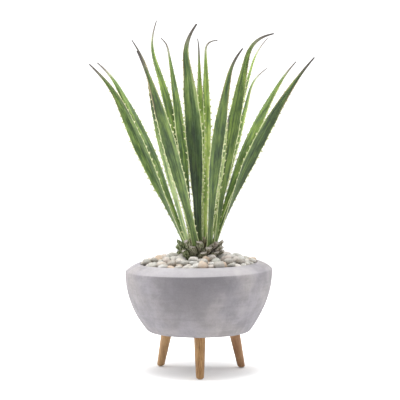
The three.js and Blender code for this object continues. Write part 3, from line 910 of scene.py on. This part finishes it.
def makeLeaves():
    skin, horn = leafSkin(), toothHorn()
    toothVerts, owner, toothFaces = growTeeth(horn)
    faceOwner = np.array([owner[face[0]] for face in toothFaces])
    for index, (name, leaf) in enumerate(leaves.items()):
        verts, faces, values = leafBlade(leaf, leafShape["seed"] + index)
        mine = np.flatnonzero(owner == index)
        renumber = np.full(len(owner), -1)
        renumber[mine] = np.arange(len(mine)) + len(verts)
        own = [tuple(int(renumber[v]) for v in toothFaces[f]) for f in np.flatnonzero(faceOwner == index)]
        piece = meshPiece(f"leafBlade_{name}", np.vstack([verts, toothVerts[mine]]), faces + own, skin)
        piece.data.materials.append(horn)
        marks = np.repeat([0, 1], [len(faces), len(own)]).astype(np.int32)
        piece.data.polygons.foreach_set("material_index", marks)
        for label, array in values.items():
            setAttribute(piece.data, label, np.concatenate([array, np.ones(len(mine))]))
        tips = np.concatenate([np.zeros(len(verts)), toothTips(toothVerts[mine])])
        setAttribute(piece.data, "toothTip", tips)
        for label in ("tone", "shade", "top", "foldToneAndShade", "tip"):
            setAttribute(piece.data, label, np.full(len(tips), leaf[label]))
        setAttribute(piece.data, "seed", np.full(len(tips), float(index)))
        faceOutward(piece)
        finished(piece, "leaf", f"leaf_{name}")


makeLeaves()
print("leaves made")


# stones are packed in numpy and shaped by the tree; sizes are half-lengths in millimetres
pebbleBed = {
    "inner": 47, "outer": 193, "soil": 346, "heapTop": 387, "edgeTop": 378, "heapReach": (95, 168),
    "give": 1.5, "long": (13.5, 20.5), "wide": (0.66, 0.9), "high": (0.56, 0.8), "sunk": 0.75,
    "closeness": 0.86, "tilt": 0.34, "tries": 90, "most": 640, "missLimit": 40, "seed": 11,
    "sides": 4, "squareness": 0.34, "roundness": 0.84, "wearSize": 46.0, "wearDepth": 0.0078,
}


def packPebbles():
    # drops each stone into the lowest place found among a few tries
    bed = pebbleBed
    rng = np.random.default_rng(bed["seed"])
    stones = np.zeros((0, 5))
    shapes, missed = [], 0
    while len(stones) < bed["most"] and missed < bed["missLimit"]:
        long = rng.uniform(*bed["long"])
        wide, high = long * rng.uniform(*bed["wide"]), long * rng.uniform(*bed["high"])
        reach = (long + wide) / 2
        nearest, farthest = bed["inner"] + reach * 0.8, bed["outer"] - reach * 0.92
        radius = np.sqrt(rng.uniform(nearest ** 2, farthest ** 2, bed["tries"]))
        turn = rng.uniform(0, 2 * np.pi, bed["tries"])
        spots = np.stack([radius * np.cos(turn), radius * np.sin(turn)], 1)
        rest = np.full(bed["tries"], bed["soil"] + high * bed["sunk"])
        if len(stones):
            gap = np.linalg.norm(spots[:, None, :] - stones[None, :, :2], axis=2)
            share = gap / (bed["closeness"] * (reach + stones[None, :, 3]))
            dome = np.sqrt(np.clip(1 - share ** 2, 0, 1))
            lift = stones[None, :, 2] + 0.94 * (high + stones[None, :, 4]) * dome
            rest = np.maximum(rest, np.where(share < 1, lift, 0).max(1))
        ceiling = np.interp(radius, bed["heapReach"], (bed["heapTop"], bed["edgeTop"])) + bed["give"]
        over = rest + high - ceiling
        best = int(np.argmin(over))
        if over[best] > 0:
            missed += 1
            continue
        stones = np.vstack([stones, [*spots[best], rest[best], reach, high]])
        shapes.append((long, wide, high))
    places = stones[:, :3] * mm
    places[:, 0] += crown["shiftX"] * mm * np.interp(np.hypot(*stones[:, :2].T), (60, 150), (1, 0))
    places[:, 2] += bowl["lean"] * 0.8 * places[:, 0]
    turns = np.stack([rng.normal(0, bed["tilt"], len(stones)), rng.normal(0, bed["tilt"], len(stones)),
                      rng.uniform(0, 2 * np.pi, len(stones))], 1)
    return places, np.array(shapes) * mm, turns, rng.uniform(0, 1, len(stones))


def pebbleHeapTree():
    tree, start, end, sockets = newTree("pebbleHeap", [
        ("Stone Sides", "NodeSocketInt", 4), ("Squareness", "NodeSocketFloat", 0.34),
        ("Roundness", "NodeSocketFloat", 0.84), ("Wear Size", "NodeSocketFloat", 30.0),
        ("Wear Depth", "NodeSocketFloat", 0.004), ("Material", "NodeSocketMaterial", None)])
    given = start.outputs
    block = put(tree, "GeometryNodeMeshCube", {"Size": (1, 1, 1), "Vertices X": given["Stone Sides"],
                "Vertices Y": given["Stone Sides"], "Vertices Z": given["Stone Sides"]}).outputs["Mesh"]
    place = first(tree, "GeometryNodeInputPosition")
    ball = vectorMath(tree, "NORMALIZE", {0: place})
    ball = vectorMath(tree, "SCALE", {0: ball, "Scale": given["Roundness"]})
    squarer = vectorMath(tree, "SCALE", {0: place, "Scale": given["Squareness"]})
    ball = vectorMath(tree, "ADD", {0: ball, 1: squarer})
    stone = first(tree, "GeometryNodeSetPosition", {"Geometry": block, "Position": ball})
    heap = first(tree, "GeometryNodeInstanceOnPoints", {"Points": given["Geometry"], "Instance": stone,
                 "Rotation": named(tree, "stoneTurn", "FLOAT_VECTOR"),
                 "Scale": named(tree, "stoneSize", "FLOAT_VECTOR")})
    heap = first(tree, "GeometryNodeRealizeInstances", {0: heap})
    worn = put(tree, "ShaderNodeTexNoise", {"Vector": first(tree, "GeometryNodeInputPosition"),
                 "Scale": given["Wear Size"], "Detail": 1.0}).outputs["Color"]
    worn = vectorMath(tree, "SUBTRACT", {0: worn, 1: (0.5, 0.5, 0.5)})
    worn = vectorMath(tree, "SCALE", {0: worn, "Scale": given["Wear Depth"]})
    heap = first(tree, "GeometryNodeSetPosition", {"Geometry": heap, "Offset": worn})
    heap = first(tree, "GeometryNodeSetShadeSmooth", {"Geometry": heap})
    heap = first(tree, "GeometryNodeSetMaterial", {"Geometry": heap, "Material": given["Material"]})
    tree.links.new(heap, end.inputs[0])
    return tree, sockets


def tumbledPebble():
    material, tree, skin, place = newFinish("tumbledPebble")
    tone = attribute(tree, "stoneTone")
    base = stops(tree, tone, [(0.0, (0.44, 0.42, 0.39)), (0.14, (0.31, 0.285, 0.25)),
                              (0.28, (0.36, 0.36, 0.325)), (0.42, (0.53, 0.52, 0.5)),
                              (0.54, (0.46, 0.385, 0.34)), (0.66, (0.5, 0.475, 0.44)),
                              (0.78, (0.43, 0.32, 0.23)), (0.84, (0.2, 0.195, 0.175)),
                              (0.93, (0.52, 0.5, 0.47)), (1.0, (0.06, 0.056, 0.052))])
    # each stone takes its pattern from its own part of the noise
    own = first(tree, "ShaderNodeCombineXYZ", {0: times(tree, tone, 41.0),
                1: times(tree, tone, 17.0)})
    spot = vectorMath(tree, "ADD", {0: place, 1: own})
    cloudy = noise(tree, spot, 55.0, 5.0, 0.6)
    speckled = noise(tree, spot, 420.0, 3.0, 0.6)
    bands = noise(tree, stretched(tree, spot, (30, 60, 190)), 1.0, 3.0, 0.5)
    colour = blend(tree, between(tree, cloudy, 0.4, 0.7, 0.0, 0.45), base, (0.54, 0.53, 0.5, 1))
    colour = blend(tree, between(tree, bands, 0.5, 0.68, 0.0, 0.34), colour, (0.4, 0.31, 0.22, 1))
    colour = blend(tree, between(tree, speckled, 0.52, 0.7, 0.0, 0.45), colour, (0.27, 0.245, 0.215, 1))
    paint(tree, skin, colour=colour, rough=spread(tree, cloudy, 0.5, 0.72), gloss=0.4)
    relief(tree, skin, plus(tree, cloudy, times(tree, speckled, 0.35)), 0.35, 0.0012)
    return material


def makePebbles():
    places, sizes, turns, tones = packPebbles()
    data = bpy.data.meshes.new("pebblePlaces")
    data.from_pydata([tuple(p) for p in places], [], [])
    setAttribute(data, "stoneSize", sizes, "FLOAT_VECTOR")
    setAttribute(data, "stoneTurn", turns, "FLOAT_VECTOR")
    setAttribute(data, "stoneTone", tones)
    tree, sockets = pebbleHeapTree()
    mesh = grown(placed("pebblePlaces", data), tree, sockets, {
        "Stone Sides": pebbleBed["sides"], "Squareness": pebbleBed["squareness"],
        "Roundness": pebbleBed["roundness"], "Wear Size": pebbleBed["wearSize"],
        "Wear Depth": pebbleBed["wearDepth"], "Material": tumbledPebble()})
    finished(placed("pebbleLayer", mesh), "pebbles", "pebble_mulch")
    return len(places)


print("pebbles made,", makePebbles(), "stones")


trunk = {
    "shiftX": 4, "bottom": 302, "radius": 46, "straightTo": 371, "crownRadius": 42, "crown": 429, "top": 442,
    "around": 120, "ringStep": 8.6, "ridge": 1.5, "fibre": 0.35, "smoothBelow": (305, 317),
}


def fibrousTrunk():
    material, tree, skin, place = newFinish("fibrousTrunk")
    threads = streaky(tree, place, (210, 210, 38), 5.0, 0.65)
    damp = noise(tree, place, 34.0, 4.0)
    colour = stops(tree, threads, [(0.32, (0.02, 0.018, 0.009)), (0.5, (0.066, 0.058, 0.028)),
                                   (0.66, (0.15, 0.125, 0.066))])
    colour = blend(tree, between(tree, damp, 0.45, 0.7, 0.0, 0.5), colour, (0.075, 0.095, 0.03, 1))
    paint(tree, skin, colour=colour, rough=spread(tree, damp, 0.92, 0.78))
    relief(tree, skin, threads, 0.7, 0.0022)
    return material


def makeTrunk():
    c = trunk
    profile = [(0, c["bottom"]), (c["radius"] - 3, c["bottom"])]
    profile += line(profile[-1], (c["radius"], c["bottom"] + 3), 2)
    profile += line(profile[-1], (c["radius"], c["straightTo"]), 12)
    profile += line(profile[-1], (c["crownRadius"], c["crown"]), 34)
    profile += arc(profile[-1], (c["crownRadius"] - 2, c["top"]), (0, c["top"]), 12)
    points, faces = turnedPoints(profile, c["around"])
    turn = np.arctan2(points[:, 1], points[:, 0])
    height = points[:, 2] / mm
    uneven = 2.4 * np.sin(3 * turn) + 1.3 * np.sin(7 * turn + 1)
    rings = np.abs(np.sin(np.pi * (height + uneven) / c["ringStep"]))
    fibres = np.sin(29 * turn + 0.4 * height) * 0.5 + np.sin(47 * turn - 0.23 * height)
    rough = smoothstep(*c["smoothBelow"], height)
    points[:, :2] *= (1 + (c["ridge"] * (rings - 0.6) + c["fibre"] * fibres) / c["radius"] * rough)[:, None]
    points[:, 0] += c["shiftX"] * mm
    finished(meshPiece("trunkCore", points, faces, fibrousTrunk()), "trunk", "stem")


# spreads are how far one stub may differ from the next
stubs = {
    "tiers": (377, 394, 411), "perTier": 8, "startRadius": 52, "inside": 15, "length": 30, "flare": 50,
    "width": 27, "thickness": 13, "around": 24, "stations": 9, "seed": 21, "turnSpread": (-7, 7),
    "flareSpread": (-10, 7), "lengthSpread": (-5, 1.5), "widthSpread": (0.88, 1.12),
    "depthSpread": (0.88, 1.15), "leanSpread": (-0.14, 0.14), "slantSpread": (-0.55, 0.55),
    "ragged": 1.9, "bend": 1.6, "curl": 0.26, "cutInset": (0.94, 0.6, 0.25),
}


def cutLeafBase():
    material, tree, skin, place = newFinish("cutLeafBase")
    cut = attribute(tree, "cut")
    dry = attribute(tree, "dry")
    threads = streaky(tree, place, (260, 260, 60), 4.0, 0.65)
    blotch = noise(tree, place, 70.0, 4.0)
    pores = noise(tree, place, 520.0, 2.0)
    green = stops(tree, threads, [(0.36, (0.022, 0.032, 0.009)), (0.48, (0.135, 0.172, 0.062)),
                                  (0.62, (0.4, 0.44, 0.26))])
    brown = stops(tree, threads, [(0.36, (0.03, 0.026, 0.014)), (0.48, (0.215, 0.178, 0.142)),
                                  (0.62, (0.5, 0.44, 0.4))])
    wilt = calc(tree, "ADD", dry, spread(tree, blotch, -0.3, 0.3), clamp=True)
    side = blend(tree, wilt, green, brown)
    sawn = blend(tree, spread(tree, blotch), (0.5, 0.46, 0.43, 1), (0.24, 0.22, 0.17, 1))
    sawn = blend(tree, between(tree, pores, 0.5, 0.72, 0.0, 0.6), sawn, (0.16, 0.13, 0.1, 1))
    colour = blend(tree, between(tree, cut, 0.35, 0.75), side, sawn)
    paint(tree, skin, colour=colour, rough=spread(tree, blotch, 0.72, 0.9))
    relief(tree, skin, plus(tree, threads, times(tree, pores, 0.4)), 0.7, 0.002)
    return material


def stubShell(tier, azimuth, rng):
    s = stubs
    out = facing(azimuth + rng.uniform(*s["turnSpread"]))
    flare = math.radians(s["flare"] + rng.uniform(*s["flareSpread"]))
    length = s["length"] + s["inside"] + rng.uniform(*s["lengthSpread"])
    wide = s["width"] / 2 * rng.uniform(*s["widthSpread"])
    deep = s["thickness"] / 2 * rng.uniform(*s["depthSpread"])
    across = np.array([-out[1], out[0], 0])
    grow = out * math.sin(flare) + np.array([0, 0, math.cos(flare)])
    inward = np.cross(grow, across)
    inward *= -1 if inward[2] < 0 else 1
    lean = rng.uniform(*s["leanSpread"])
    start = out * s["startRadius"] + np.array([trunk["shiftX"], 0, s["tiers"][tier]]) - grow * s["inside"]
    around, stations = s["around"], s["stations"]
    turn = 2 * np.pi * np.arange(around) / around
    share = np.sign(np.cos(turn)) * np.abs(np.cos(turn)) ** 0.7
    side = np.sign(np.sin(turn)) * np.abs(np.sin(turn)) ** 0.75
    ragged = rng.uniform(-1, 1, around)
    slant = rng.uniform(*s["slantSpread"], 2)
    # the last few rings close the sawn end
    steps = [*np.linspace(0, 1, stations), *[1.0] * len(s["cutInset"])]
    rows = []
    for t, shrink in zip(steps, [1.0] * stations + list(s["cutInset"])):
        w = wide * (1.14 - 0.3 * t * t) * shrink
        h = deep * (1.3 - 0.62 * t) * shrink
        cutLine = slant[0] * share * w + slant[1] * side * h + s["ragged"] * ragged * shrink
        along = length * t + smoothstep(0.75, 1, t) * cutLine
        along = along + (0.5 if shrink < 1 else 0) - (1.2 * (1 - shrink) if shrink < 0.9 else 0)
        bend = s["bend"] * math.sin(math.pi * t) + 0.35 * ragged * t
        point = start + grow * along[:, None] + across * (share * w + lean * length * t)[:, None]
        rows.append(point + inward * (side * h + s["curl"] * w * share ** 2 - bend)[:, None])
    verts = np.vstack(rows + [[rows[0].mean(0)], [rows[-1].mean(0)]]) * mm
    cut = np.repeat([0.0, 1.0], [stations * around, len(s["cutInset"]) * around])
    return verts, cappedTube(len(rows), around), np.concatenate([cut, [0, 1]])


def makeStubs():
    rng = np.random.default_rng(stubs["seed"])
    finish = cutLeafBase()
    for tier in range(len(stubs["tiers"])):
        for i in range(stubs["perTier"]):
            azimuth = (i + tier / 2) * 360 / stubs["perTier"]
            number = tier * stubs["perTier"] + i + 1
            verts, faces, cut = stubShell(tier, azimuth, rng)
            piece = meshPiece(f"cutStub_{number:02d}", verts, faces, finish)
            setAttribute(piece.data, "cut", cut)
            # stubs on the right have dried more
            dry = np.clip(0.4 + 0.45 * math.sin(math.radians(azimuth)) + rng.uniform(-0.25, 0.25), 0, 1)
            setAttribute(piece.data, "dry", np.full(len(verts), dry))
            faceOutward(piece)
            finished(piece, "cut_leaf_base", f"leaf_stub_{number:02d}")


makeTrunk()
makeStubs()
print("trunk and cut leaf bases made")
